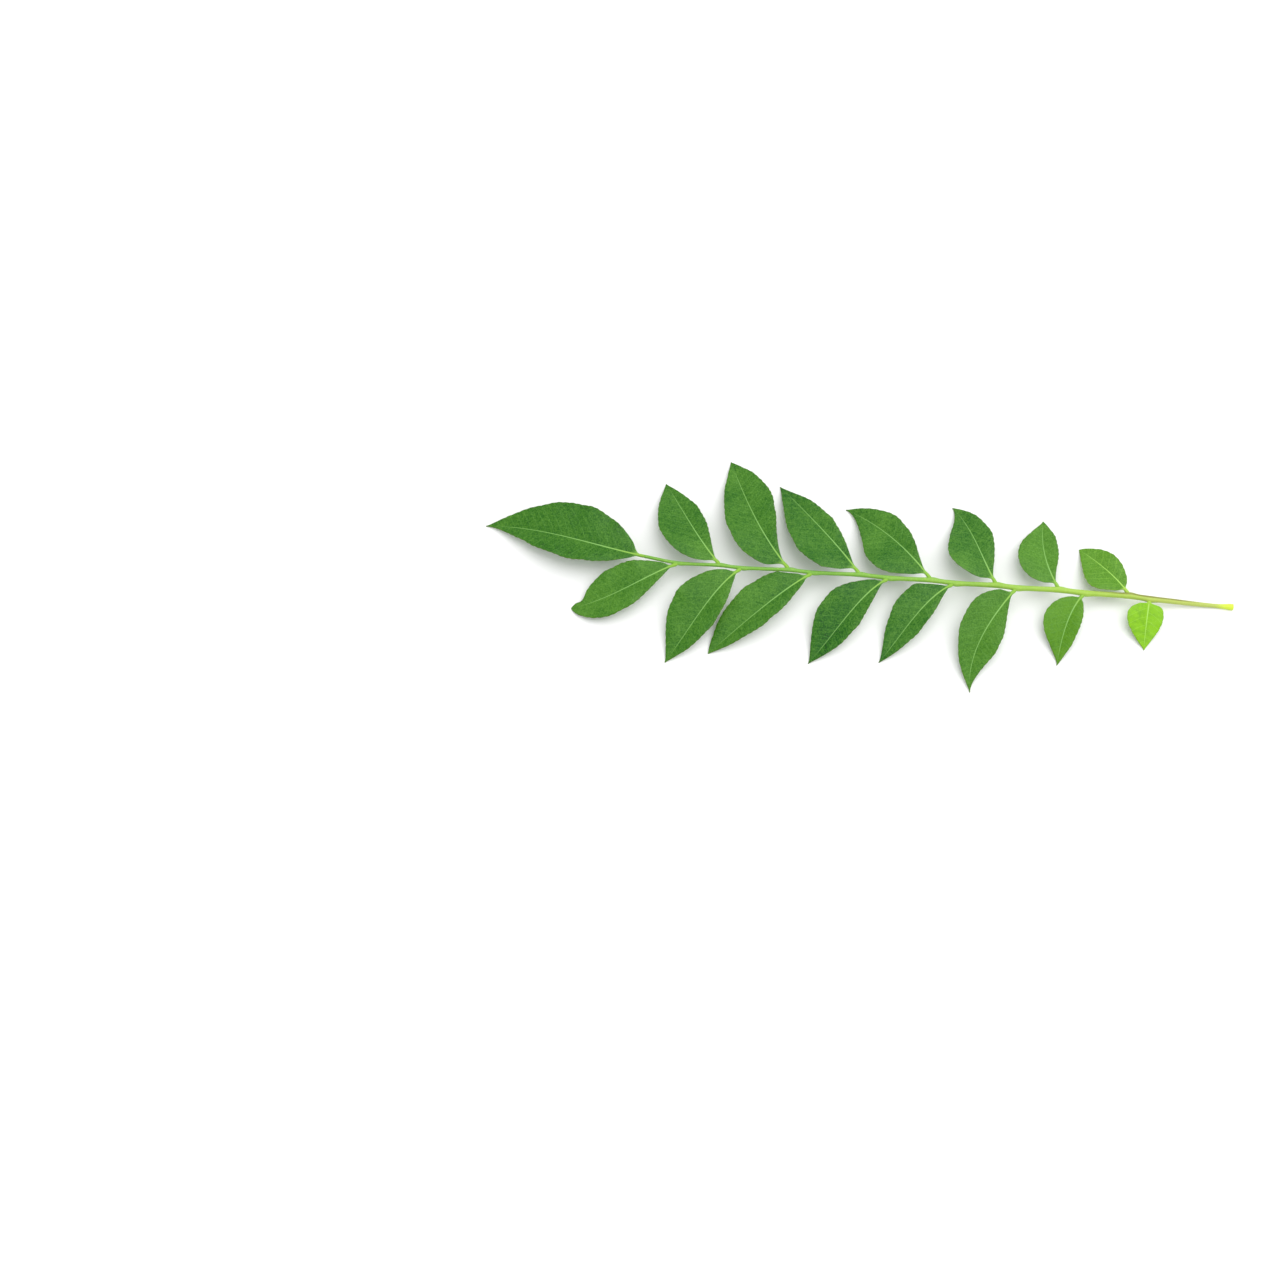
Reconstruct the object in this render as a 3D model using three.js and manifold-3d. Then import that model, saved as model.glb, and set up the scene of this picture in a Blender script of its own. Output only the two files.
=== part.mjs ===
// Curry leaf sprig, cut and lying down: a slender rachis with fifteen alternate leaflets and one at its tip.
// Millimetres, +Z up. The sprig lies along X on the plane Z = 0, its cut end towards +X and its tip towards -X.
// Left and right are as seen from the cut end, looking along the sprig.

import * as THREE from "three";
import { mergeVertices } from "three/addons/utils/BufferGeometryUtils.js";
import Module from "manifold-3d";

const wasm = await Module();
wasm.setup();

// Rachis: the points that its middle line passes through, from the cut end to the foot of the end leaflet.
const ROUTE = [
  [121.2, 0.2, 0.55],
  [113, 0.1, 0.8],
  [94, -0.4, 3.2],
  [66, -1.4, 5.5],
  [38, -2.3, 6.7],
  [10, -2.7, 7.1],
  [-18, -3.1, 6.9],
  [-45, -3.4, 6.3],
  [-58, -3.2, 5.8],
  [-68.4, -1.9, 5.4],
];
const RACHIS_SIDES = 10;
const RACHIS_STEPS = 72;
const THICK_RADIUS = 0.88;
const TIP_RADIUS = 0.52;
const PETIOLE_RADIUS = 0.6;
const PETIOLE_LENGTH = 24;
const FLARE = 0.42;
const FLARE_LENGTH = 3.2;
const NODE_SWELL = 0.14;
const NODE_LENGTH = 2.4;
const NODE_SWING = 0.22;

// Leaflets: one row each, from the cut end on. Lengths in millimetres, bearings in degrees from the way that the
// rachis points: foot's distance from the cut end, reach from foot to tip, bearing at the foot, bearing of the tip,
// bearing at the tip, how far the first bend goes as a part of the reach, the stalk's length, the blade's inner and
// outer halves, and the roll with the inner margin up. A half has its width, where it is widest as a part of the
// blade's length and how drawn out it is at the tip. The inner half is the one on the side of the sprig's tip.
const RIGHT = [
  [33.9, 22.7, 56, 48.1, 39, 0.27, 2.4, [8.3, 0.4, 1.12], [5.5, 0.5, 0.87], 3],
  [56.7, 26.7, 58, 81.5, 98, 0.33, 2.2, [9, 0.39, 1.36], [4.6, 0.57, 0.91], -4],
  [76.8, 32.4, 58, 65.3, 52, 0.32, 2, [10.2, 0.38, 1.51], [6, 0.56, 1.03], 2],
  [97.7, 38, 49, 42.8, 27, 0.31, 2.3, [11.8, 0.38, 1.78], [6.3, 0.58, 1.18], -3],
  [120.5, 42.2, 50, 50.3, 48, 0.28, 2.2, [11.3, 0.36, 1.13], [5, 0.53, 1.26], 3],
  [143.1, 45.4, 46, 62.4, 70, 0.3, 2, [9.9, 0.37, 1.1], [8, 0.61, 1.04], -2],
  [165.3, 36.2, 44, 56.5, 58, 0.29, 1.7, [10.4, 0.44, 1.04], [5, 0.53, 1.17], 4],
];
const LEFT = [
  [27.4, 16.7, 81, 84.7, 88, 0.3, 1.2, [6.6, 0.38, 1.28], [5.1, 0.28, 1.09], 5],
  [48.4, 24.9, 47, 70.1, 83, 0.31, 1.8, [7.6, 0.4, 1.66], [4.3, 0.43, 1.02], -3],
  [70.4, 37, 53, 67.8, 98, 0.31, 1.6, [8.3, 0.37, 1.35], [6.2, 0.51, 1.57], 2],
  [90, 35, 28, 49.2, 53, 0.31, 1.8, [7.9, 0.37, 1.23], [4.3, 0.49, 1.1], -5],
  [111, 37.5, 31, 49.9, 51, 0.28, 1.8, [9.1, 0.48, 1.27], [4.8, 0.51, 1.15], -2],
  [135.5, 42.1, 36, 41.4, 44, 0.29, 1.8, [8.7, 0.45, 0.94], [4.9, 0.48, 1.01], -5],
  [158.3, 38.9, 41, 55.3, 57, 0.3, 1.8, [9.9, 0.45, 1.21], [5.9, 0.49, 1.1], -3],
  [178.5, 37.1, 31, 29.6, 16, 0.31, 2.2, [7.9, 0.5, 0.99], [6.7, 0.63, 0.68], 2],
];
const TERMINAL = [190, 53.2, 2, -1.7, 7, 0.3, 1, [12, 0.43, 1.24], [7.7, 0.44, 1.5], -3];

// How steeply the stalks rise from the rachis.
const RIGHT_RISE = 9;
const LEFT_RISE = 5;
const TERMINAL_RISE = 4;
const TIP_BEND = 0.36;
const TIP_FALL = 12;
const TIP_HEIGHT = 0.1;

const STALK_RADIUS = 0.52;
const BLADE_THICKNESS = 0.72;
const TIP_HALF_WIDTH = 0.5;
const FOLD = 0.3;
const CURL = 0.13;
const RIB_HALF_WIDTH = 0.55;
const RIB_DEPTH = 0.4;
const WAVE = 0.42;
const WAVE_LENGTH = 13;
const BASE_FADE = 0.07;
const CLEARANCE = 0.3;

const BLADE_ROWS = 17;
const STALK_ROWS = 2;
// How much closer the rows lie near both ends of the blade.
const END_CROWD = 0.6;
// Places across the blade, from margin to margin: the middle three make the rib.
const ACROSS = [-1, -0.55, 0, 0, 0, 0.55, 1];

const leafGreen = new THREE.MeshStandardMaterial({ color: 0x4a8733, roughness: 0.5, metalness: 0 });
const youngGreen = new THREE.MeshStandardMaterial({ color: 0x76b52c, roughness: 0.5, metalness: 0 });
const stalkGreen = new THREE.MeshStandardMaterial({ color: 0xa4c455, roughness: 0.55, metalness: 0 });

const radians = THREE.MathUtils.degToRad;
const smooth = THREE.MathUtils.smoothstep;
const mix = THREE.MathUtils.lerp;

const route = new THREE.CatmullRomCurve3(ROUTE.map((point) => new THREE.Vector3(...point)));
route.arcLengthDivisions = 600;
const rachisLength = route.getLength();

// The rachis swings a little towards each leaflet's foot, so it zigzags from node to node.
const nodes = [
  ...RIGHT.map(([at]) => ({ at, side: 1 })),
  ...LEFT.map(([at]) => ({ at, side: -1 })),
  { at: 0, side: 0 },
  { at: rachisLength, side: 0 },
].sort((a, b) => a.at - b.at);

function swing(at) {
  const next = nodes.findIndex((node) => node.at > at);
  if (next < 1) return 0;
  const [from, to] = [nodes[next - 1], nodes[next]];
  return NODE_SWING * mix(from.side, to.side, (at - from.at) / (to.at - from.at));
}

// A point of the rachis's middle line and the directions along, to the right and up there.
function rachisFrame(at) {
  const part = THREE.MathUtils.clamp(at / rachisLength, 0, 1);
  const along = route.getTangentAt(part);
  const right = new THREE.Vector3().crossVectors(along, new THREE.Vector3(0, 0, 1)).normalize();
  const up = new THREE.Vector3().crossVectors(right, along);
  const point = route.getPointAt(part).addScaledVector(right, swing(at));
  return { point, along, right, up };
}

function rachisRadius(at) {
  const taper = mix(THICK_RADIUS, TIP_RADIUS, smooth(at, PETIOLE_LENGTH, rachisLength));
  const petiole = mix(PETIOLE_RADIUS, taper, smooth(at, 0, PETIOLE_LENGTH));
  const flare = FLARE * Math.exp(-((at / FLARE_LENGTH) ** 2));
  const swell = nodes.reduce((sum, node) => {
    return node.side ? sum + NODE_SWELL * Math.exp(-(((at - node.at) / NODE_LENGTH) ** 2)) : sum;
  }, 0);
  return petiole * (1 + swell) + flare;
}

// The rachis as a tapered rod along its route, grown all round by a clearance and flat where it meets the surface.
function rachisGeometry(grow) {
  const geometry = new THREE.CylinderGeometry(1, 1, 1, RACHIS_SIDES, RACHIS_STEPS);
  const places = geometry.getAttribute("position");
  for (let i = 0; i < places.count; i++) {
    const at = (places.getY(i) + 0.5) * rachisLength;
    const { point, along, right, up } = rachisFrame(at);
    const radius = rachisRadius(at) + grow;
    point.addScaledVector(right, places.getX(i) * radius);
    point.addScaledVector(up, places.getZ(i) * radius);
    if (at > rachisLength - 0.01) point.addScaledVector(along, grow);
    places.setXYZ(i, point.x, point.y, Math.max(point.z, -grow));
  }
  return geometry;
}

// Width of one half of a blade at a part of its length.
function outline(part, [width, peak, taper]) {
  const rise = (taper * peak) / (1 - peak);
  return width * (part / peak) ** rise * ((1 - part) / (1 - peak)) ** taper;
}

// The midrib as a curve from the foot on the rachis down to the tip.
function midrib({ at, side, reach, leave, bear, arrive, bend, steepness }) {
  const { point: foot, along } = rachisFrame(at);
  const forward = Math.atan2(along.y, along.x);
  const heading = (bearing, length, height) => {
    const angle = forward - side * radians(bearing);
    return new THREE.Vector3(Math.cos(angle) * length, Math.sin(angle) * length, height);
  };
  const tip = foot.clone().setZ(0).add(heading(bear, reach, TIP_HEIGHT));
  const first = bend * reach;
  const last = TIP_BEND * reach;
  return new THREE.CubicBezierCurve3(
    foot,
    foot.clone().add(heading(leave, first, first * Math.tan(radians(steepness)))),
    tip.clone().sub(heading(arrive, last, -last * Math.tan(radians(TIP_FALL)))),
    tip,
  );
}

// How far a margin may go outward from a point of the rib before it comes too near the rachis.
function room({ at, side }, centre, outward) {
  const { point: foot, along } = rachisFrame(at);
  const away = new THREE.Vector3(along.y, -along.x, 0).normalize().multiplyScalar(side);
  const nearing = -outward.dot(away);
  if (nearing < 0.02 || at > rachisLength - 1) return Infinity;
  const clear = centre.clone().sub(foot).dot(away) - rachisRadius(at) - CLEARANCE;
  return Math.max(clear, 0) / nearing;
}

// Both faces of a box's grid are split along the same diagonals, so a thin blade keeps its thickness.
function matchDiagonals(geometry) {
  const { start, count } = geometry.groups[5];
  const index = geometry.getIndex();
  for (let i = start; i < start + count; i += 6) {
    const [a, b, d, , c] = index.array.slice(i, i + 6);
    index.array.set([a, b, c, a, c, d], i);
  }
}

// A leaflet: a box whose grid becomes a round stalk and then a folded, arched and waved blade with a rib beneath.
function leafletGeometry(spec) {
  const { side, roll, stalk, innerHalf, outerHalf, index } = spec;
  const curve = midrib(spec);
  const length = curve.getLength();
  const bladeFrom = stalk / length;
  const rows = STALK_ROWS + BLADE_ROWS;
  const geometry = new THREE.BoxGeometry(1, 1, 1, ACROSS.length - 1, rows, 1);
  matchDiagonals(geometry);
  const places = geometry.getAttribute("position");
  for (let i = 0; i < places.count; i++) {
    const column = Math.round((places.getX(i) + 0.5) * (ACROSS.length - 1));
    const row = Math.round((places.getY(i) + 0.5) * rows);
    const face = Math.sign(places.getZ(i));
    const step = Math.max(0, (row - STALK_ROWS) / BLADE_ROWS);
    const blade = mix(step, smooth(step, 0, 1), END_CROWD);
    const at = row < STALK_ROWS ? (bladeFrom * row) / STALK_ROWS : mix(bladeFrom, 1, blade);
    const along = curve.getTangentAt(at);
    const out = new THREE.Vector3(along.y, -along.x, 0).normalize();

    // Round stalk: the grid's columns lie evenly round a circle.
    const turn = (column / (ACROSS.length - 1) - 0.5) * radians(130);
    const stalkOut = STALK_RADIUS * Math.sin(turn);
    const stalkUp = STALK_RADIUS * Math.cos(turn) * face;

    // Blade: half widths, fold, roll and wave.
    const fromRib = column - (ACROSS.length - 1) / 2;
    const inner = fromRib * side < 0;
    const centre = curve.getPointAt(at);
    const widest = room(spec, centre, out.clone().multiplyScalar(Math.sign(fromRib)));
    const half = Math.min(outline(blade, inner ? innerHalf : outerHalf), widest);
    const edge = Math.hypot(half, TIP_HALF_WIDTH);
    const rib = Math.min(RIB_HALF_WIDTH, 0.4 * edge);
    const bladeOut = Math.abs(fromRib) === 1 ? Math.sign(fromRib) * rib : ACROSS[column] * edge;
    const spread = Math.abs(bladeOut) / edge;
    const lift = edge * (FOLD * spread - CURL * spread ** 2);
    const tilt = -side * bladeOut * Math.tan(radians(roll));
    const phase = index * 2.4 + (inner ? 0 : 1.7);
    const wave = WAVE * smooth(blade, 0, 0.3) * (1 - blade) * spread ** 2;
    const ripple = wave * Math.sin((2 * Math.PI * blade * length) / WAVE_LENGTH + phase);
    const ridge = fromRib === 0 && face < 0 ? RIB_DEPTH * (1 - 0.8 * blade) : 0;
    const bladeUp = lift + tilt + ripple + (face * BLADE_THICKNESS) / 2 - ridge;

    const fade = smooth(blade, 0, BASE_FADE);
    centre.addScaledVector(out, mix(stalkOut, bladeOut, fade));
    const floor = face < 0 ? 0 : BLADE_THICKNESS;
    places.setXYZ(i, centre.x, centre.y, Math.max(centre.z + mix(stalkUp, bladeUp, fade), floor));
  }
  return geometry;
}

function solidOf(geometry) {
  geometry.deleteAttribute("normal");
  geometry.deleteAttribute("uv");
  const merged = mergeVertices(geometry, 1e-4);
  return new wasm.Manifold(
    new wasm.Mesh({
      numProp: 3,
      vertProperties: merged.getAttribute("position").array,
      triVerts: Uint32Array.from(merged.getIndex().array),
    }),
  );
}

function meshOf(name, solid, material) {
  const { numProp, vertProperties, triVerts } = solid.getMesh();
  const geometry = new THREE.BufferGeometry();
  geometry.setAttribute("position", new THREE.BufferAttribute(Float32Array.from(vertProperties), numProp));
  geometry.setIndex(new THREE.BufferAttribute(Uint32Array.from(triVerts), 1));
  geometry.computeVertexNormals();
  const mesh = new THREE.Mesh(geometry, material);
  mesh.name = name;
  return mesh;
}

// A leaflet with its foot cut to the rachis, less the small clearance between them.
function leaflet(name, row, side, steepness, index, material) {
  const [at, reach, leave, bear, arrive, bend, stalk, innerHalf, outerHalf, roll] = row;
  const spec = { at, side, reach, leave, bear, arrive, bend, steepness, stalk, innerHalf, outerHalf, roll, index };
  const bodies = solidOf(leafletGeometry(spec)).subtract(rachisRoom).decompose();
  bodies.sort((a, b) => b.volume() - a.volume());
  return meshOf(name, bodies[0], material);
}

const rachisRoom = solidOf(rachisGeometry(CLEARANCE));

const sprig = new THREE.Group();
sprig.add(meshOf("rachis", solidOf(rachisGeometry(0)), stalkGreen));
[[RIGHT, "right", 1, RIGHT_RISE], [LEFT, "left", -1, LEFT_RISE]].forEach(([rows, name, side, steepness]) => {
  rows.forEach((row, i) => {
    const index = side > 0 ? i : i + RIGHT.length;
    const material = i === 0 ? youngGreen : leafGreen;
    sprig.add(leaflet(`leaflet_${name}_${i + 1}`, row, side, steepness, index, material));
  });
});
sprig.add(leaflet("leaflet_terminal", TERMINAL, -1, TERMINAL_RISE, 15, leafGreen));

export default sprig;
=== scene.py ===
# Looks of the curry leaf sprig: a rachis with its flared cut end and sixteen thin leaflets with ribs, veins
# and crenate margins, lying on a pale floor under soft light.
# Shapes are worked out in millimetres, as the solids are, and each finished mesh is made metres.

import math
from bisect import bisect_right
from collections import namedtuple

import bmesh
import bpy
from mathutils import Matrix, Vector
from mathutils.geometry import interpolate_bezier


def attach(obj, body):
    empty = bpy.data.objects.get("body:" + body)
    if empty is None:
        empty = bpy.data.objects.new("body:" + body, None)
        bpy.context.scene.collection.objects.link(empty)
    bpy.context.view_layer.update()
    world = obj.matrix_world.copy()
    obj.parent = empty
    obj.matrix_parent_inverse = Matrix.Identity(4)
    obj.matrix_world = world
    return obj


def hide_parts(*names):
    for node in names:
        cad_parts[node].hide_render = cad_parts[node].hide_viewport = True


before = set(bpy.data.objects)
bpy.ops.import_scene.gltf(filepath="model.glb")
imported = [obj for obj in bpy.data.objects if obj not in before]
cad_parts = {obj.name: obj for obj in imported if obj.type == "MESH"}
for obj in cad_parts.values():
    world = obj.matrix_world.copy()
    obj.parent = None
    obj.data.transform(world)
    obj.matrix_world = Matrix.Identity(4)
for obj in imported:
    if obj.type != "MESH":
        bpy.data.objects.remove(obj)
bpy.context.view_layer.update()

MM = 0.001

# The solids' own values
# Rachis: points of its middle line from the cut end to the foot of the end leaflet, and its radii.
ROUTE = [
    (121.2, 0.2, 0.55),
    (113, 0.1, 0.8),
    (94, -0.4, 3.2),
    (66, -1.4, 5.5),
    (38, -2.3, 6.7),
    (10, -2.7, 7.1),
    (-18, -3.1, 6.9),
    (-45, -3.4, 6.3),
    (-58, -3.2, 5.8),
    (-68.4, -1.9, 5.4),
]
THICK_RADIUS = 0.88
TIP_RADIUS = 0.52
PETIOLE_RADIUS = 0.6
PETIOLE_LENGTH = 24
FLARE = 0.42
FLARE_LENGTH = 3.2
NODE_SWELL = 0.14
NODE_LENGTH = 2.4
NODE_SWING = 0.22

# Leaflets, one row each, from the cut end on, with bearings in degrees from the way that the rachis points.
# A row has the foot's distance from the cut end, the reach from foot to tip, the bearing at the foot, of the
# tip and at the tip, how far the first bend goes as a part of the reach, the stalk's length, the blade's
# inner and outer halves and the roll. The inner half is the one on the side of the sprig's tip. A half has
# its width, where it is widest, how drawn out it is at the tip, and how deep a nick it has just short of the
# tip. The last two values are for the colour: how pale and how young the leaflet is.
# The paleness is partly each leaflet's own tone and partly painted sheen and shade, set leaflet by leaflet.
Half = namedtuple("Half", "width peak taper nick", defaults=[0])
Row = namedtuple("Row", "at reach leave bear arrive bend stalk inner outer roll pale youth")
RIGHT = [
    Row(33.9, 22.7, 56, 48.1, 39, 0.27, 2.4, Half(8.3, 0.4, 1.12), Half(5.5, 0.5, 0.87), 3, 0.65, 0.18),
    Row(56.7, 26.7, 58, 81.5, 98, 0.33, 2.2, Half(9.0, 0.39, 1.36), Half(4.6, 0.57, 0.91), -4, 0.5, 0.08),
    Row(76.8, 32.4, 58, 65.3, 52, 0.32, 2.0, Half(10.2, 0.38, 1.51), Half(6.0, 0.56, 1.03), 2, 0.35, 0),
    Row(97.7, 38.0, 49, 42.8, 27, 0.31, 2.3, Half(11.8, 0.38, 1.78), Half(6.3, 0.58, 1.18), -3, 0.3, 0.02),
    Row(120.5, 42.2, 50, 50.3, 48, 0.28, 2.2, Half(11.3, 0.36, 1.13), Half(5.0, 0.53, 1.26), 3, 0.3, 0),
    Row(143.1, 45.4, 46, 62.4, 70, 0.3, 2.0, Half(9.9, 0.37, 1.1), Half(8.0, 0.61, 1.04), -2, 0.18, 0.04),
    Row(165.3, 36.2, 44, 56.5, 58, 0.29, 1.7, Half(10.4, 0.44, 1.04), Half(5.0, 0.53, 1.17), 4, 0.25, 0.03),
]
LEFT = [
    Row(27.4, 16.7, 81, 84.7, 88, 0.3, 1.2, Half(6.6, 0.38, 1.28), Half(5.1, 0.28, 1.09), 5, 0.6, 1),
    Row(48.4, 24.9, 47, 70.1, 83, 0.31, 1.8, Half(7.6, 0.4, 1.66), Half(4.3, 0.43, 1.02), -3, 0.15, 0.34),
    Row(70.4, 37.0, 53, 67.8, 98, 0.31, 1.6, Half(8.3, 0.37, 1.35), Half(6.2, 0.51, 1.57), 2, 0.2, 0.12),
    Row(90.0, 35.0, 28, 49.2, 53, 0.31, 1.8, Half(7.9, 0.37, 1.23), Half(4.3, 0.49, 1.1), -5, 0.2, 0),
    Row(111.0, 37.5, 31, 49.9, 51, 0.28, 1.8, Half(9.1, 0.48, 1.27), Half(4.8, 0.51, 1.15), -2, 0.12, 0.02),
    Row(135.5, 42.1, 36, 41.4, 44, 0.29, 1.8, Half(8.7, 0.45, 0.94), Half(4.9, 0.48, 1.01), -5, 0.4, 0.04),
    Row(158.3, 38.9, 41, 55.3, 57, 0.3, 1.8, Half(9.9, 0.45, 1.21), Half(5.9, 0.49, 1.1), -3, 0.3, 0.06),
    Row(
        178.5, 37.1, 31, 29.6, 16, 0.31, 2.2, Half(7.9, 0.5, 0.99, 0.5), Half(6.7, 0.63, 0.68), 2, 0.35, 0.06
    ),
]
TERMINAL = Row(190, 53.2, 2, -1.7, 7, 0.3, 1.0, Half(12.0, 0.43, 1.24), Half(7.7, 0.44, 1.5), -3, 0.12, 0.05)

# How steeply the stalks rise, and how the tips come down.
RIGHT_RISE = 9
LEFT_RISE = 5
TERMINAL_RISE = 4
TIP_BEND = 0.36
TIP_FALL = 12
TIP_HEIGHT = 0.1
STALK_RADIUS = 0.52
CLEARANCE = 0.15
FOLD = 0.3
CURL = 0.13
WAVE = 0.42
WAVE_LENGTH = 13
WAVE_RISE = 0.3
LEAFLET_PHASE = 2.4
HALF_PHASE = 1.7
BASE_FADE = 0.07

# What is finer than the solids: the blades first
BLADE_THICKNESS = 0.34
MARGIN_THICKNESS = 0.15
TIP_HALF_WIDTH = 0.15
TIP_BLUNTNESS = 0.04
NICK_PART = 0.9
NICK_LENGTH = 0.055
FOOT_SWELL = 0.12
FOOT_LENGTH = 1.1
ROOT_PART = 0.35
LOWEST_LEAVING = 25
LEAST_NEARING = 0.02
RIB_DEPTH = 0.42
RIB_HALF_WIDTH = 0.42
RIB_SHARPNESS = 0.7
RIB_NARROWING = 0.65
RIB_DEPTH_LOSS = 0.7
RIB_CREST = 0.06
RIB_CREST_LOSS = 0.6
CRENATION = 0.17
CRENATION_LENGTH = 2.1
CRENATION_MIDDLE = 0.6
RUFFLE = 0.16
RUFFLE_LENGTH = 5.3
RUFFLE_PHASE = 3
WOBBLE = 0.11
WOBBLE_LENGTH = 10.5
WOBBLE_DRIFT = 0.33
WOBBLE_PHASE = 2.1
WOBBLE_HALF_PHASE = 2.6
UNEVEN_WIDTH = (1.2, 4)
UNEVEN_BASE = (0.08, 0.2)
QUILT = 0.012
QUILT_START = (0.4, 2)
VEIN_SPACING = 2.7
VEIN_LEAN = 0.5
VEIN_BOW = 0.035
VEIN_SHIFT = 0.37

# How finely a blade is divided
COLUMNS = 36
ROW_STEP = 0.38
END_CROWD = 0.7
STALK_STEPS = 8
SIDE_SPAN = 86
MIDDLE_CROWD = 1.35
MIDRIB_SAMPLES = 240

# The rachis
RACHIS_SIDES = 28
RACHIS_STEP = 0.32
ROUTE_SAMPLES = 80
RACHIS_RIDGES = 9
RIDGE_HEIGHT = 0.022
RIDGE_START = (2, 8)
GROOVE_DEPTH = 0.07
GROOVE_WIDTH = 0.3
GROOVE_START = (20, 60)
SHOULDER = 0.2
SHOULDER_LENGTH = 1.5
SHOULDER_LEAD = 0.4
CUT_RIM = 0.16
CUT_SINK = 0.08
STRIPE_TURN = math.radians(48)
CREASE_ANGLE = math.radians(50)


def smooth(value, low, high):
    part = min(max((value - low) / (high - low), 0), 1)
    return part * part * (3 - 2 * part)


def mix(a, b, part):
    return a + (b - a) * part


def bell(distance, width):
    return math.exp(-((distance / width) ** 2))


class Path:
    """A curve walked by its length."""

    def __init__(self, points):
        self.points = points
        self.marks = [0.0]
        for a, b in zip(points, points[1:]):
            self.marks.append(self.marks[-1] + (b - a).length)
        last = len(points) - 1
        self.tangents = [
            (points[min(i + 1, last)] - points[max(i - 1, 0)]).normalized() for i in range(last + 1)
        ]
        self.length = self.marks[-1]

    def at(self, distance):
        """The point at that distance from the start and the direction there."""
        i = min(max(bisect_right(self.marks, distance) - 1, 0), len(self.points) - 2)
        part = (distance - self.marks[i]) / (self.marks[i + 1] - self.marks[i])
        point = self.points[i].lerp(self.points[i + 1], part)
        return point, self.tangents[i].lerp(self.tangents[i + 1], min(max(part, 0), 1)).normalized()


def route():
    """The smooth curve through the rachis's points, with centripetal spacing."""
    ends = [Vector(point) for point in ROUTE]
    ends = [2 * ends[0] - ends[1], *ends, 2 * ends[-1] - ends[-2]]
    points = []
    for a, b, c, d in zip(ends, ends[1:], ends[2:], ends[3:]):
        first, middle, last = [(v - u).length ** 0.5 for u, v in ((a, b), (b, c), (c, d))]
        leaving = ((b - a) / first - (c - a) / (first + middle) + (c - b) / middle) * middle
        arriving = ((c - b) / middle - (d - b) / (middle + last) + (d - c) / last) * middle
        points += interpolate_bezier(b, b + leaving / 3, c - arriving / 3, c, ROUTE_SAMPLES)[:-1]
    return Path([*points, ends[-2]])


RACHIS = route()
NODES = sorted(
    [(row.at, 1) for row in RIGHT] + [(row.at, -1) for row in LEFT] + [(0, 0), (RACHIS.length, 0)]
)


def rachis_frame(at):
    """A point of the rachis's middle line and the directions along, to the right and up there."""
    point, along = RACHIS.at(at)
    right = along.cross(Vector((0, 0, 1))).normalized()
    up = right.cross(along)
    following = next((i for i, node in enumerate(NODES) if node[0] > at), 0)
    if following:
        (from_at, from_side), (to_at, to_side) = NODES[following - 1 : following + 1]
        point = point + right * NODE_SWING * mix(from_side, to_side, (at - from_at) / (to_at - from_at))
    return point, along, right, up


def rachis_radius(at):
    taper = mix(THICK_RADIUS, TIP_RADIUS, smooth(at, PETIOLE_LENGTH, RACHIS.length))
    petiole = mix(PETIOLE_RADIUS, taper, smooth(at, 0, PETIOLE_LENGTH))
    swell = sum(NODE_SWELL * bell(at - node, NODE_LENGTH) for node, side in NODES if side)
    return petiole * (1 + swell) + FLARE * bell(at, FLARE_LENGTH)


def finish_piece(bm, name, node, material):
    """Makes the mesh metres, gives it its material and names what it stands for."""
    bmesh.ops.recalc_face_normals(bm, faces=bm.faces[:])
    bmesh.ops.scale(bm, vec=(MM, MM, MM), verts=bm.verts[:])
    mesh = bpy.data.meshes.new(name)
    bm.to_mesh(mesh)
    bm.free()
    mesh.shade_smooth()
    mesh.set_sharp_from_angle(angle=CREASE_ANGLE)
    mesh.materials.append(material)
    piece = bpy.data.objects.new(name, mesh)
    bpy.context.scene.collection.objects.link(piece)
    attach(piece, "root")
    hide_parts(node)


def rachis(material):
    """A rod of many rings along the rachis's route, ridged, grooved above and cut square at its foot."""
    bm = bmesh.new()
    bmesh.ops.create_cone(bm, cap_ends=True, segments=RACHIS_SIDES, radius1=1, radius2=1, depth=1)
    steps = round(RACHIS.length / RACHIS_STEP)
    lengthwise = [e for e in bm.edges if abs(e.verts[0].co.z - e.verts[1].co.z) > 0.5]
    bmesh.ops.subdivide_edges(bm, edges=lengthwise, cuts=steps - 1)
    ends = [f for f in bm.faces if len(f.verts) == RACHIS_SIDES]
    cut_face = min(ends, key=lambda f: f.calc_center_median().z)
    bmesh.ops.inset_individual(bm, faces=[cut_face], thickness=CUT_RIM, depth=0)
    pith = set(cut_face.verts)
    along_layer = bm.verts.layers.float.new("along")
    stripe_layer = bm.verts.layers.float.new("stripe")
    cut_layer = bm.verts.layers.float.new("cut")
    for vert in bm.verts:
        at = (vert.co.z + 0.5) * RACHIS.length
        point, along, right, up = rachis_frame(at)
        angle = math.atan2(vert.co.y, vert.co.x)
        ring = math.hypot(vert.co.x, vert.co.y)
        top = math.sin(angle)
        radius = rachis_radius(at)
        radius += RIDGE_HEIGHT * math.sin(RACHIS_RIDGES * angle) * smooth(at, *RIDGE_START)
        radius -= GROOVE_DEPTH * bell(math.cos(angle), GROOVE_WIDTH) * (top > 0) * smooth(at, *GROOVE_START)
        for node, side in NODES:
            facing = max(math.cos(angle) * side, 0)
            from_node = at - node + SHOULDER_LENGTH * SHOULDER_LEAD
            radius += SHOULDER * facing * bell(from_node, SHOULDER_LENGTH)
        radius *= ring
        place = point + right * math.cos(angle) * radius + up * top * radius
        if vert in pith:
            place += along * CUT_SINK
        place.z = max(place.z, 0)
        vert[along_layer] = at
        vert[stripe_layer] = math.cos(angle - STRIPE_TURN) * ring
        vert[cut_layer] = 1 if vert in pith else 0
        vert.co = place
    finish_piece(bm, "rachis_stem", "rachis", material)


def outline(part, half):
    """Width of one half of a blade at a part of its length."""
    rise = half.taper * half.peak / (1 - half.peak)
    width = half.width * (part / half.peak) ** rise * ((1 - part) / (1 - half.peak)) ** half.taper
    return width * (1 - half.nick * bell(part - NICK_PART, NICK_LENGTH))


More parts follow.
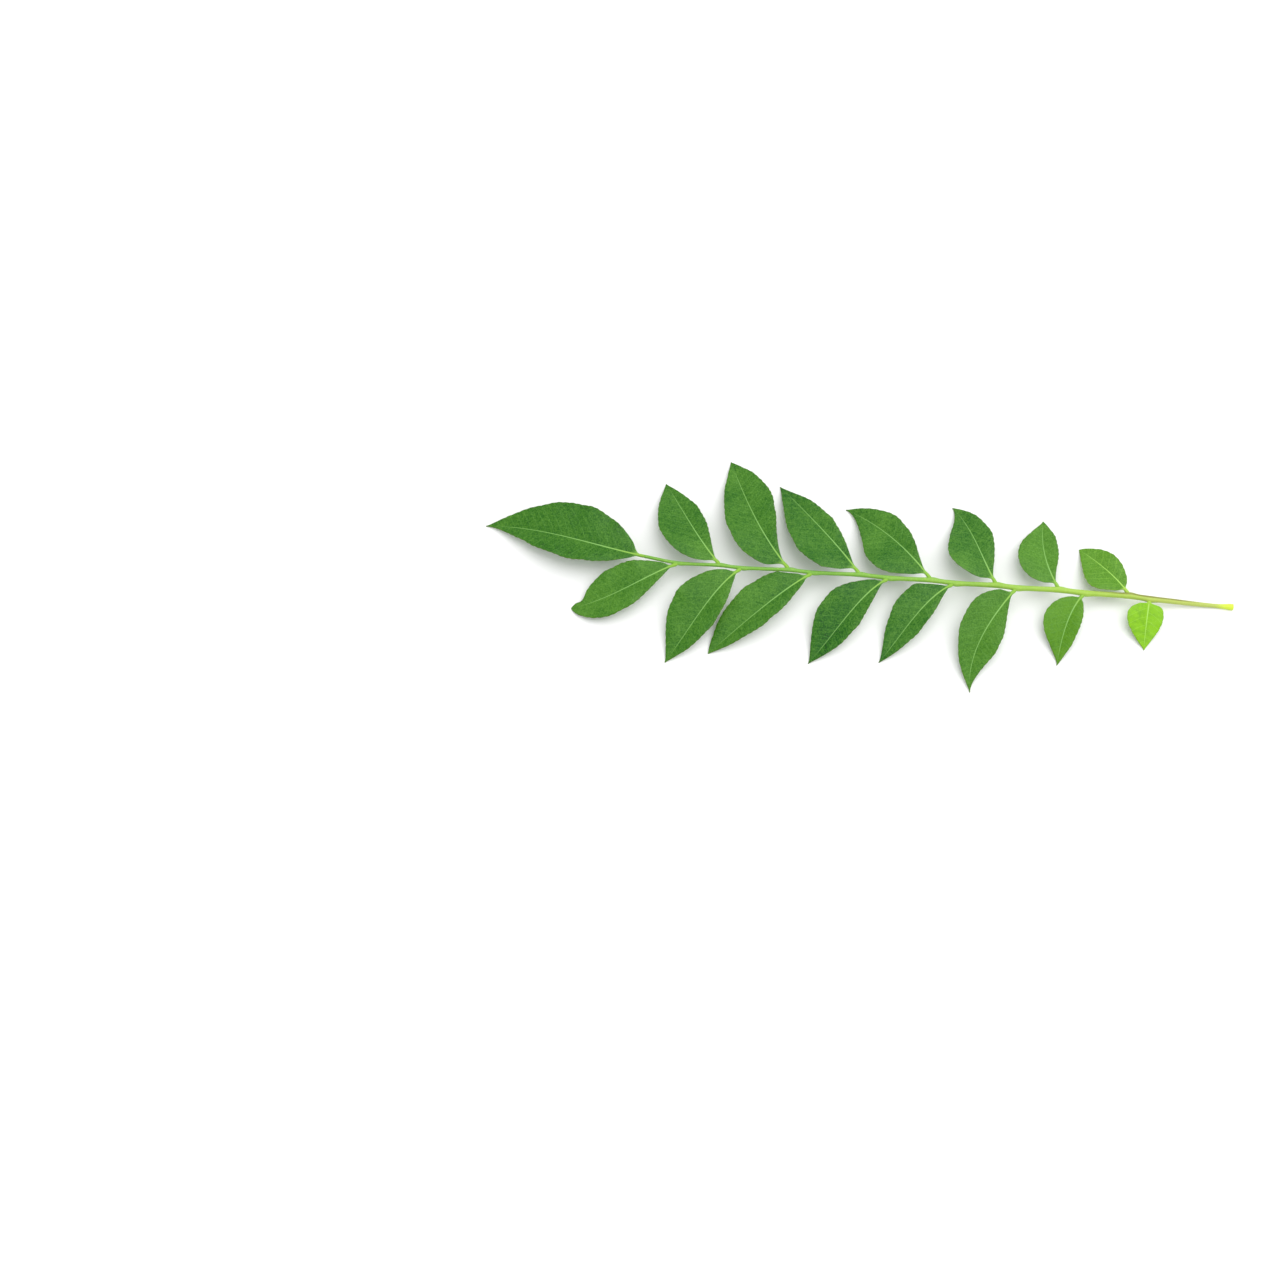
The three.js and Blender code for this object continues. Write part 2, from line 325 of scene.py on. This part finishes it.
def midrib(row, side, steepness):
    """A leaflet's middle line, from its foot in the rachis down to its tip."""
    foot, along = rachis_frame(row.at)[:2]
    forward = math.atan2(along.y, along.x)

    def heading(bearing, length, height):
        angle = forward - side * math.radians(bearing)
        return Vector((math.cos(angle) * length, math.sin(angle) * length, height))

    tip = Vector((foot.x, foot.y, 0)) + heading(row.bear, row.reach, TIP_HEIGHT)
    first = row.bend * row.reach
    last = TIP_BEND * row.reach
    rise = first * math.tan(math.radians(steepness))
    fall = last * math.tan(math.radians(TIP_FALL))
    leaving = foot + heading(row.leave, first, rise)
    arriving = tip - heading(row.arrive, last, -fall)
    return Path(interpolate_bezier(foot, leaving, arriving, tip, MIDRIB_SAMPLES))


def grid_box(columns, rows):
    """A flat closed box from -1 to 1 along X and 0 to 1 along Y, with both faces split into a grid."""
    bm = bmesh.new()
    bmesh.ops.create_cube(bm, size=2)
    for axis, count in ((0, columns), (1, rows)):
        edges = [e for e in bm.edges if abs(e.verts[0].co[axis] - e.verts[1].co[axis]) > 1]
        bmesh.ops.subdivide_edges(bm, edges=edges, cuts=count - 1)
    placing = Matrix.Translation((0, 0.5, 0)) @ Matrix.Diagonal((1, 0.5, 1, 1))
    bmesh.ops.transform(bm, matrix=placing, verts=bm.verts[:])
    return bm


class Blade:
    """One leaflet's form: where each point of a flat grid goes."""

    def __init__(self, row, side, rise, index):
        self.row = row
        self.side = side
        self.index = index
        self.foot, self.stem = rachis_frame(row.at)[:2]
        self.path = midrib(row, side, rise)
        self.stalk_part = row.stalk / self.path.length
        self.blade_length = self.path.length * (1 - self.stalk_part)
        self.blade_rows = round(self.blade_length / ROW_STEP)
        self.on_side = row.at < RACHIS.length - 1
        leaving = math.radians(max(row.leave, LOWEST_LEAVING))
        self.root_length = rachis_radius(row.at) / math.sin(leaving)
        self.root = ROOT_PART if self.on_side else 1
        self.swell = FOOT_SWELL / STALK_RADIUS if self.on_side else 0

    def part_of(self, grid_row):
        """A grid row's part of the blade, which is 0 along the stalk, and its part of the whole leaflet."""
        if grid_row < STALK_STEPS:
            return 0, self.stalk_part * grid_row / STALK_STEPS
        step = (grid_row - STALK_STEPS) / self.blade_rows
        blade = mix(step, smooth(step, 0, 1), END_CROWD)
        return blade, mix(self.stalk_part, 1, blade)

    def room(self, centre, outward):
        """How far a margin may go from a point of the rib before it comes too near the rachis."""
        away = Vector((self.stem.y, -self.stem.x, 0)).normalized() * self.side
        nearing = -outward.dot(away)
        if nearing < LEAST_NEARING or not self.on_side:
            return math.inf
        return max((centre - self.foot).dot(away) - rachis_radius(self.row.at) - CLEARANCE, 0) / nearing

    def margin(self, blade, inner, centre, outward):
        """Distance from the rib to the margin."""
        half = outline(blade, self.row.inner if inner else self.row.outer)
        half = min(half, self.room(centre, outward))
        from_tip = min((1 - blade) * self.blade_length / TIP_HALF_WIDTH, 1)
        round_tip = math.sqrt(mix(TIP_BLUNTNESS, 1, 1 - (1 - from_tip) ** 2))
        edge = math.hypot(half, TIP_HALF_WIDTH * round_tip)
        distance = blade * self.blade_length
        teeth = abs(math.sin(math.pi * distance / CRENATION_LENGTH + self.index)) - CRENATION_MIDDLE
        start = self.index * WOBBLE_PHASE + WOBBLE_HALF_PHASE * inner + math.sin(distance * WOBBLE_DRIFT)
        wobble = math.sin(2 * math.pi * distance / WOBBLE_LENGTH + start)
        uneven = smooth(edge, *UNEVEN_WIDTH) * smooth(blade, *UNEVEN_BASE)
        return edge + (CRENATION * teeth + WOBBLE * wobble) * uneven

    def point(self, x, grid_row, face):
        """The place of a grid point, and what its material reads: how far it is out from the rib, along the
        rib and in from the margin, and how far it is stalk."""
        blade, part = self.part_of(grid_row)
        along_rib = part * self.path.length
        centre, along = self.path.at(along_rib)
        out = Vector((along.y, -along.x, 0)).normalized()
        foot = mix(self.root, 1, smooth(along_rib, 0, self.root_length))
        foot += self.swell * bell(along_rib - self.root_length, FOOT_LENGTH)
        turn = math.radians(x * SIDE_SPAN)
        stalk_out = STALK_RADIUS * foot * math.sin(turn)
        stalk_up = STALK_RADIUS * foot * math.cos(turn) * face

        inner = x * self.side < 0
        edge = self.margin(blade, inner, centre, out * math.copysign(1, x))
        spread = abs(x) ** MIDDLE_CROWD
        blade_out = math.copysign(spread * edge, x)
        lift = edge * (FOLD * spread - CURL * spread**2)
        tilt = -self.side * blade_out * math.tan(math.radians(self.row.roll))
        turns = 2 * math.pi * blade * self.path.length
        phase = self.index * LEAFLET_PHASE + (0 if inner else HALF_PHASE)
        fullness = smooth(blade, 0, WAVE_RISE) * (1 - blade) * spread**2
        ripple = WAVE * fullness * math.sin(turns / WAVE_LENGTH + phase)
        ripple += RUFFLE * fullness * spread * math.sin(turns / RUFFLE_LENGTH + RUFFLE_PHASE * phase)
        vein = (along_rib - VEIN_LEAN * abs(blade_out) - VEIN_BOW * blade_out**2) / VEIN_SPACING
        vein += 0.5 * inner + VEIN_SHIFT * self.index
        cushion = smooth(abs(blade_out), *QUILT_START) * (1 - spread**4)
        quilt = -QUILT * math.cos(2 * math.pi * vein) * cushion
        rib = bell(blade_out, RIB_SHARPNESS * RIB_HALF_WIDTH * (1 - RIB_NARROWING * blade))
        keel = -RIB_DEPTH * (1 - RIB_DEPTH_LOSS * blade)
        crest = RIB_CREST * (1 - RIB_CREST_LOSS * blade)
        ridge = rib * (keel if face < 0 else crest)
        thickness = mix(BLADE_THICKNESS, MARGIN_THICKNESS, spread**5)
        blade_up = lift + tilt + ripple + quilt + face * thickness / 2 + ridge

        fade = smooth(blade, 0, BASE_FADE)
        out_by = mix(stalk_out, blade_out, fade)
        place = centre + out * out_by
        place.z += mix(stalk_up, blade_up, fade)
        place.z = max(place.z, 0 if face < 0 else thickness)
        return place, (out_by, along_rib, mix(1, edge * (1 - spread), fade), (1 - fade) ** 2)


def leaflet(node, row, side, rise, index, materials):
    """One leaflet in one closed skin, with what its material reads."""
    blade = Blade(row, side, rise, index)
    rows = STALK_STEPS + blade.blade_rows
    bm = grid_box(COLUMNS, rows)
    names = ("across", "along", "inset", "stem", "underside", "part", "pale", "youth")
    layers = {name: bm.verts.layers.float.new(name) for name in names}
    for vert in bm.verts:
        x, y, face = vert.co
        place, measures = blade.point(x, round(y * rows), math.copysign(1, face))
        values = (*measures, face < 0, measures[1] / blade.path.length, row.pale, row.youth)
        for name, value in zip(names, values):
            vert[layers[name]] = value
        vert.co = place
    slot = "young_leaf" if row in (RIGHT[0], LEFT[0]) else "leaf"
    finish_piece(bm, node.replace("leaflet", "blade"), node, materials[slot])


def linear(red, green, blue):
    """A colour given as it looks on a screen, 0 to 255, as the linear light that a shader takes."""
    parts = [value / 255 for value in (red, green, blue)]
    return (*[p / 12.92 if p <= 0.04045 else ((p + 0.055) / 1.055) ** 2.4 for p in parts], 1)


class Value:
    """A shader socket on which arithmetic adds Math nodes."""

    def __init__(self, graph, socket):
        self.graph = graph
        self.socket = socket

    def math(self, operation, *values):
        return self.graph.node("ShaderNodeMath", {"operation": operation}, dict(enumerate(values)))

    def __add__(self, other):
        return self.math("ADD", self, other)

    def __radd__(self, other):
        return self.math("ADD", other, self)

    def __sub__(self, other):
        return self.math("SUBTRACT", self, other)

    def __rsub__(self, other):
        return self.math("SUBTRACT", other, self)

    def __mul__(self, other):
        return self.math("MULTIPLY", self, other)

    def __rmul__(self, other):
        return self.math("MULTIPLY", other, self)

    def __truediv__(self, other):
        return self.math("DIVIDE", self, other)

    def __pow__(self, other):
        return self.math("POWER", self, other)

    def __abs__(self):
        return self.math("ABSOLUTE", self)

    def sign(self):
        return self.math("SIGN", self)

    def fraction(self):
        return self.math("FRACT", self)

    def step(self, low, high):
        """0 below low and 1 above high, eased between, or the other way round if low is above high."""
        if low > high:
            return 1 - self.step(high, low)
        sockets = {"Value": self, "From Min": low, "From Max": high}
        return self.graph.node("ShaderNodeMapRange", {"interpolation_type": "SMOOTHSTEP"}, sockets)


class Graph:
    """A material's nodes."""

    def __init__(self, name):
        self.material = bpy.data.materials.new(name)
        self.material.use_nodes = True
        self.tree = self.material.node_tree
        self.shader = self.tree.nodes["Principled BSDF"]

    def node(self, kind, settings=None, sockets=None, output=0):
        """Adds a node: its settings first, then its sockets' values or links. Returns one output."""
        made = self.tree.nodes.new(kind)
        for name, value in (settings or {}).items():
            setattr(made, name, value)
        self.fill(made, sockets or {})
        return Value(self, made.outputs[output])

    def fill(self, node, sockets):
        for name, value in sockets.items():
            if isinstance(value, Value):
                self.tree.links.new(value.socket, node.inputs[name])
            else:
                node.inputs[name].default_value = value

    def attribute(self, name):
        return self.node("ShaderNodeAttribute", {"attribute_name": name}, output="Fac")

    def blend(self, part, a, b, beyond=False):
        """Colour a, turning to b as part goes from 0 to 1, and if told so, beyond both."""
        settings = {"data_type": "RGBA", "clamp_factor": not beyond, "clamp_result": beyond}
        return self.node("ShaderNodeMix", settings, {0: part, 6: a, 7: b}, output=2)

    def noise(self, place, scale, detail):
        """Noise from about 0 to 1, with marks of about 1/scale metres."""
        return self.node("ShaderNodeTexNoise", None, {"Vector": place, "Scale": scale, "Detail": detail})

    def cells(self, place, scale, feature):
        """Distance in a pattern of cells, each about 1/scale metres wide."""
        sockets = {"Vector": place, "Scale": scale}
        return self.node("ShaderNodeTexVoronoi", {"feature": feature}, sockets, output="Distance")

    def bump(self, height, strength, distance):
        sockets = {"Height": height, "Strength": strength, "Distance": distance}
        return self.node("ShaderNodeBump", None, sockets)


# How many marks the patterns have to a metre
CLOUD_SCALE = 55
MOTTLE_SCALE = 150
WANDER_SCALE = 260
SPECKLE_SCALE = 800
GRAIN_SCALE = 2400
NET_SCALE = 1050
GLAND_SCALE = 1250
STEM_MOTTLE_SCALE = 220
STEM_GRAIN_SCALE = 1400

# How much each pattern changes a blade's colour
BROAD_MOTTLING = 0.8
SPECKLING = 0.9
GRAININESS = 1.7

# A blade's markings fade between two values: parts of a pattern, of a leaflet's length, or millimetres
VEIN_WANDER = 0.9
VEIN_OFFSET = 0.25
FINE_VEIN_LEAN = 0.12
VEIN_EDGE = (0.06, 0.01)
NET_EDGE = (0.08, 0)
GLAND_EDGE = (0.2, 0.08)
PALE_RIB_TIP = 0.06
PALE_RIB_GROWTH = 0.19
PALE_RIB_EDGE = (0.08, -0.06)
PALE_RIB_END = (0.97, 0.78)
PALE_STALK_END = (0.28, 0.05)
RIM_EDGE = (0.2, 0.04)
RIM_START = (0.1, 0.2)
BLADE_RELIEF = 0.00009

# The rachis's colours change between two parts of its length or, near the cut end, between two distances
GREENING = (0.08, 0.75)
PETIOLE_END = (44, 18)
LINE_ROUND = (0.6, 0.9)
LINE_END = (50, 34)
LINE_START = (8, 18)
FLARE_END = (6.5, 2)
STEM_RELIEF = 0.00005

LeafFinish = namedtuple("LeafFinish", "dark pale young rib vein rim underside stalk roughness specular")
MATURE = LeafFinish(
    dark=linear(30, 92, 2),
    pale=linear(84, 136, 42),
    young=linear(126, 184, 10),
    rib=linear(136, 188, 100),
    vein=linear(104, 160, 74),
    rim=linear(92, 104, 34),
    underside=linear(118, 160, 96),
    stalk=linear(136, 182, 64),
    roughness=0.42,
    specular=0.22,
)
YOUNG = MATURE._replace(
    rib=linear(166, 216, 98),
    vein=linear(150, 204, 70),
    rim=linear(120, 134, 40),
    underside=linear(150, 196, 84),
    stalk=linear(160, 196, 72),
    roughness=0.38,
)


def leaf_material(name, finish):
    """A blade: pale rib and stalk, faint veins, net and gland dots, a thin olive rim, a dull underside."""
    graph = Graph(name)
    place = graph.node("ShaderNodeTexCoord", output="Object")
    across = graph.attribute("across")
    along = graph.attribute("along")
    inset = graph.attribute("inset")
    stem = graph.attribute("stem")
    part = graph.attribute("part")
    under = graph.attribute("underside")
    pale = graph.attribute("pale")
    youth = graph.attribute("youth")
    out = abs(across)

    cloud = graph.noise(place, CLOUD_SCALE, 1)
    mottle = graph.noise(place, MOTTLE_SCALE, 3)
    speckle = graph.noise(place, SPECKLE_SCALE, 2)
    grain = graph.noise(place, GRAIN_SCALE, 1)
    wander = graph.noise(place, WANDER_SCALE, 1) - 0.5

    met_rib = along - out * VEIN_LEAN - out * out * VEIN_BOW + wander * VEIN_WANDER
    lane = met_rib / VEIN_SPACING + across.sign() * VEIN_OFFSET
    side_vein = abs(lane.fraction() - 0.5).step(*VEIN_EDGE)
    fine_vein = abs((lane * 2 + out * FINE_VEIN_LEAN).fraction() - 0.5).step(*VEIN_EDGE)
    net = graph.cells(place, NET_SCALE, "DISTANCE_TO_EDGE").step(*NET_EDGE)
    glands = graph.cells(place, GLAND_SCALE, "F1").step(*GLAND_EDGE)

    rib_half = PALE_RIB_TIP + (1 - part) ** 2 * PALE_RIB_GROWTH
    rib = (out - rib_half).step(*PALE_RIB_EDGE) * part.step(*PALE_RIB_END) * (0.96 - part * 0.35)
    rib = rib + stem * (1 - rib)
    stalk = part.step(*PALE_STALK_END) * rib
    rim = inset.step(*RIM_EDGE) * part.step(*RIM_START)

    # Paleness per leaflet, partly its own tone and partly painted sheen and shade, then random mottled tone.
    shade = pale + (cloud + mottle - 1) * BROAD_MOTTLING
    shade = shade + (speckle - 0.5) * SPECKLING + (grain - 0.5) * GRAININESS
    colour = graph.blend(shade, finish.dark, finish.pale, beyond=True)
    colour = graph.blend(youth * (1.9 - mottle - speckle), colour, finish.young)
    veins = side_vein * (0.2 + youth * 0.2) + fine_vein * 0.08 + net * 0.12 + glands * 0.35
    colour = graph.blend(veins + under * side_vein * 0.3, colour, finish.vein)
    colour = graph.blend(under * 0.6, colour, finish.underside)
    colour = graph.blend(rim * 0.6, colour, finish.rim)
    colour = graph.blend(rib, colour, finish.rib)
    colour = graph.blend(stalk, colour, finish.stalk)

    rough = finish.roughness + (mottle - 0.5) * 0.16 + under * 0.18 + rib * 0.06
    height = speckle * 0.5 + grain * 0.2 + glands * 0.14 - side_vein * 0.3 - fine_vein * 0.1 - net * 0.1
    sockets = {
        "Base Color": colour,
        "Roughness": rough,
        "Specular IOR Level": finish.specular,
        "Normal": graph.bump(height, 0.6, BLADE_RELIEF),
    }
    graph.fill(graph.shader, sockets)
    return graph.material


def rachis_material():
    """Yellow-green skin, greener to the tip, a pale cut end and an olive line, part tint, part painted
    shade.
    """
    graph = Graph("rachis_skin")
    place = graph.node("ShaderNodeTexCoord", output="Object")
    along = graph.attribute("along")
    stripe = graph.attribute("stripe")
    cut = graph.attribute("cut")
    mottle = graph.noise(place, STEM_MOTTLE_SCALE, 3)
    grain = graph.noise(place, STEM_GRAIN_SCALE, 2)

    yellow_green = linear(158, 192, 66)
    leaf_green = linear(112, 168, 54)
    petiole_green = linear(174, 190, 88)
    olive_tint_and_shade = linear(116, 116, 38)
    flare_yellow = linear(204, 226, 60)
    flecks = linear(214, 228, 130)
    pith = linear(232, 240, 168)

    green = (along / RACHIS.length).step(*GREENING) + (mottle - 0.5) * 0.4
    # The olive line on the petiole's upper side: partly the stem's own olive tint, partly painted shade.
    line = stripe.step(*LINE_ROUND) * along.step(*LINE_END) * along.step(*LINE_START)
    colour = graph.blend(green, yellow_green, leaf_green)
    colour = graph.blend(along.step(*PETIOLE_END), colour, petiole_green)
    colour = graph.blend(line * (0.5 + mottle * 0.6), colour, olive_tint_and_shade)
    colour = graph.blend(along.step(*FLARE_END), colour, flare_yellow)
    colour = graph.blend((grain - 0.5) * 0.6, colour, flecks)
    colour = graph.blend(cut, colour, pith)
    sockets = {
        "Base Color": colour,
        "Roughness": 0.46 + (mottle - 0.5) * 0.2 + cut * 0.3,
        "Specular IOR Level": 0.4,
        "Normal": graph.bump(grain + mottle * 0.5, 0.4, STEM_RELIEF),
    }
    graph.fill(graph.shader, sockets)
    return graph.material


# Camera, floor and light: places and sizes in metres
PHOTO_TURN = math.radians(5.4)
PHOTO_RISE = math.radians(68)
LENS = 60
SENSOR_WIDTH = 36
CAMERA_DISTANCE = 0.6827
NEAREST = 0.01
PICTURE_MIDDLE = Vector((-0.0672, -0.0281, -0.0017))
FLOOR_REACH = 4
SKY_STRENGTH = 0.9
KEY_PLACE = Vector((0.3, 0.25, 0.95))
KEY_SIZE = 1.3
KEY_POWER = 7.6
KEY_GLOSS = 0.6


def add_camera():
    data = bpy.data.cameras.new("camera")
    data.lens = LENS
    data.sensor_width = SENSOR_WIDTH
    data.clip_start = NEAREST
    camera = bpy.data.objects.new("camera", data)
    bpy.context.scene.collection.objects.link(camera)
    right = Vector((math.cos(PHOTO_TURN), math.sin(PHOTO_TURN), 0))
    level = Vector((math.sin(PHOTO_TURN), -math.cos(PHOTO_TURN), 0))
    back = level * math.cos(PHOTO_RISE) + Vector((0, 0, math.sin(PHOTO_RISE)))
    up = back.cross(right)
    turn = Matrix((right, up, back)).transposed().to_4x4()
    camera.matrix_world = Matrix.Translation(PICTURE_MIDDLE + back * CAMERA_DISTANCE) @ turn
    bpy.context.scene.camera = camera


def add_floor():
    bm = bmesh.new()
    bmesh.ops.create_grid(bm, x_segments=1, y_segments=1, size=FLOOR_REACH)
    mesh = bpy.data.meshes.new("floor")
    bm.to_mesh(mesh)
    bm.free()
    graph = Graph("floor_white")
    sockets = {"Base Color": (0.9, 0.9, 0.9, 1), "Roughness": 0.9, "Specular IOR Level": 0.1}
    graph.fill(graph.shader, sockets)
    mesh.materials.append(graph.material)
    floor = bpy.data.objects.new("floor", mesh)
    bpy.context.scene.collection.objects.link(floor)


def add_lights():
    world = bpy.data.worlds.new("studio")
    world.use_nodes = True
    background = world.node_tree.nodes["Background"]
    background.inputs["Color"].default_value = (1, 1, 1, 1)
    background.inputs["Strength"].default_value = SKY_STRENGTH
    bpy.context.scene.world = world
    data = bpy.data.lights.new("soft_key", "AREA")
    data.shape = "DISK"
    data.size = KEY_SIZE
    data.energy = KEY_POWER
    data.specular_factor = KEY_GLOSS
    key = bpy.data.objects.new("soft_key", data)
    bpy.context.scene.collection.objects.link(key)
    key.location = KEY_PLACE
    key.rotation_mode = "QUATERNION"
    key.rotation_quaternion = (-KEY_PLACE).to_track_quat("-Z", "Y")


bpy.context.scene.view_settings.view_transform = "Standard"
add_camera()
add_floor()
add_lights()
rachis(rachis_material())
leaf_materials = {
    "leaf": leaf_material("mature_blade", MATURE),
    "young_leaf": leaf_material("young_blade", YOUNG),
}
for i, row in enumerate(RIGHT):
    leaflet(f"leaflet_right_{i + 1}", row, 1, RIGHT_RISE, i, leaf_materials)
for i, row in enumerate(LEFT):
    leaflet(f"leaflet_left_{i + 1}", row, -1, LEFT_RISE, i + len(RIGHT), leaf_materials)
leaflet("leaflet_terminal", TERMINAL, -1, TERMINAL_RISE, len(RIGHT) + len(LEFT), leaf_materials)
